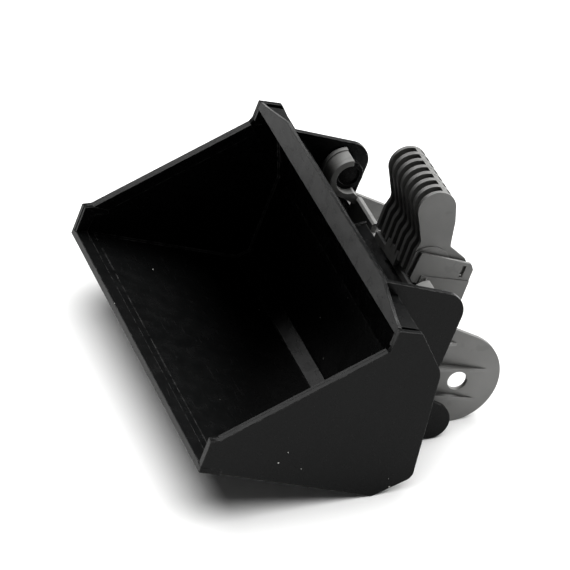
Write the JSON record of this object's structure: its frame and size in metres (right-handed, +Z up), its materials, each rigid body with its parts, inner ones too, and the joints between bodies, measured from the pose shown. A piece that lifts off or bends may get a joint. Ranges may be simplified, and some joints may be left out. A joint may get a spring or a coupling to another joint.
{
  "type": "skid steer bucket",
  "caption": "Scale-model skid steer bucket on a quick coupler: open bucket with spill guard, stub pins in open hooks, pin-hole ears and a ribbed thumb lever.",
  "frame": {"origin": "on the ground, below the middle of the object's box as it stands on its heel and its two ears", "axes": "+X across the bucket, towards the side plate that is nearest in the picture; +Y back, away from the mouth; +Z up"},
  "size_m": [0.12, 0.0914, 0.0582],
  "materials": {
    "black_plastic": "satin moulded black plastic",
    "grey_plastic": "satin moulded grey plastic",
    "spring_steel": "bright spring strip"
  },
  "bodies": {
    "bucket": {"back_plate": "black_plastic", "cutting_edge": "black_plastic", "floor_plate": "black_plastic", "heel_plate": "black_plastic", "latch_keeper": "black_plastic", "lip_end_block_left": "black_plastic", "lip_end_block_right": "black_plastic", "mount_flange_left": "black_plastic", "mount_flange_right": "black_plastic", "pivot_pin_left": "black_plastic", "pivot_pin_right": "black_plastic", "side_plate_left": "black_plastic", "side_plate_right": "black_plastic", "side_rim_left": "black_plastic", "side_rim_right": "black_plastic", "spill_guard": "black_plastic", "top_channel": "black_plastic", "top_corner_block_left": "black_plastic", "top_corner_block_right": "black_plastic", "top_plate": "black_plastic", "upper_back_plate": "black_plastic"},
    "coupler": {"coupler_ear_left": "grey_plastic", "coupler_ear_right": "grey_plastic", "coupler_plate": "grey_plastic", "hook_left": "grey_plastic", "hook_right": "grey_plastic", "housing_cheek_left": "grey_plastic", "housing_cheek_right": "grey_plastic", "housing_floor": "grey_plastic", "housing_gusset_left": "grey_plastic", "housing_gusset_right": "grey_plastic", "housing_rear_wall": "grey_plastic", "lever_pin": "grey_plastic", "lever_spring": "spring_steel"},
    "lever": {"thumb_lever": "grey_plastic"}
  },
  "joints": [
    {"name": "coupler_swing", "type": "hinge", "parent": "bucket", "child": "coupler", "pos_m": [0, 0.02542, 0.03814], "axis": [1, 0, 0], "range_deg": [0, 55]},
    {"name": "lever_press", "type": "hinge", "parent": "coupler", "child": "lever", "pos_m": [0, 0.03223, 0.03553], "axis": [-1, 0, 0], "range_deg": [0, 10], "stiffness_Nm_per_rad": 0.04, "springref_deg": -5.73, "deforming": ["lever_spring"]}
  ]
}
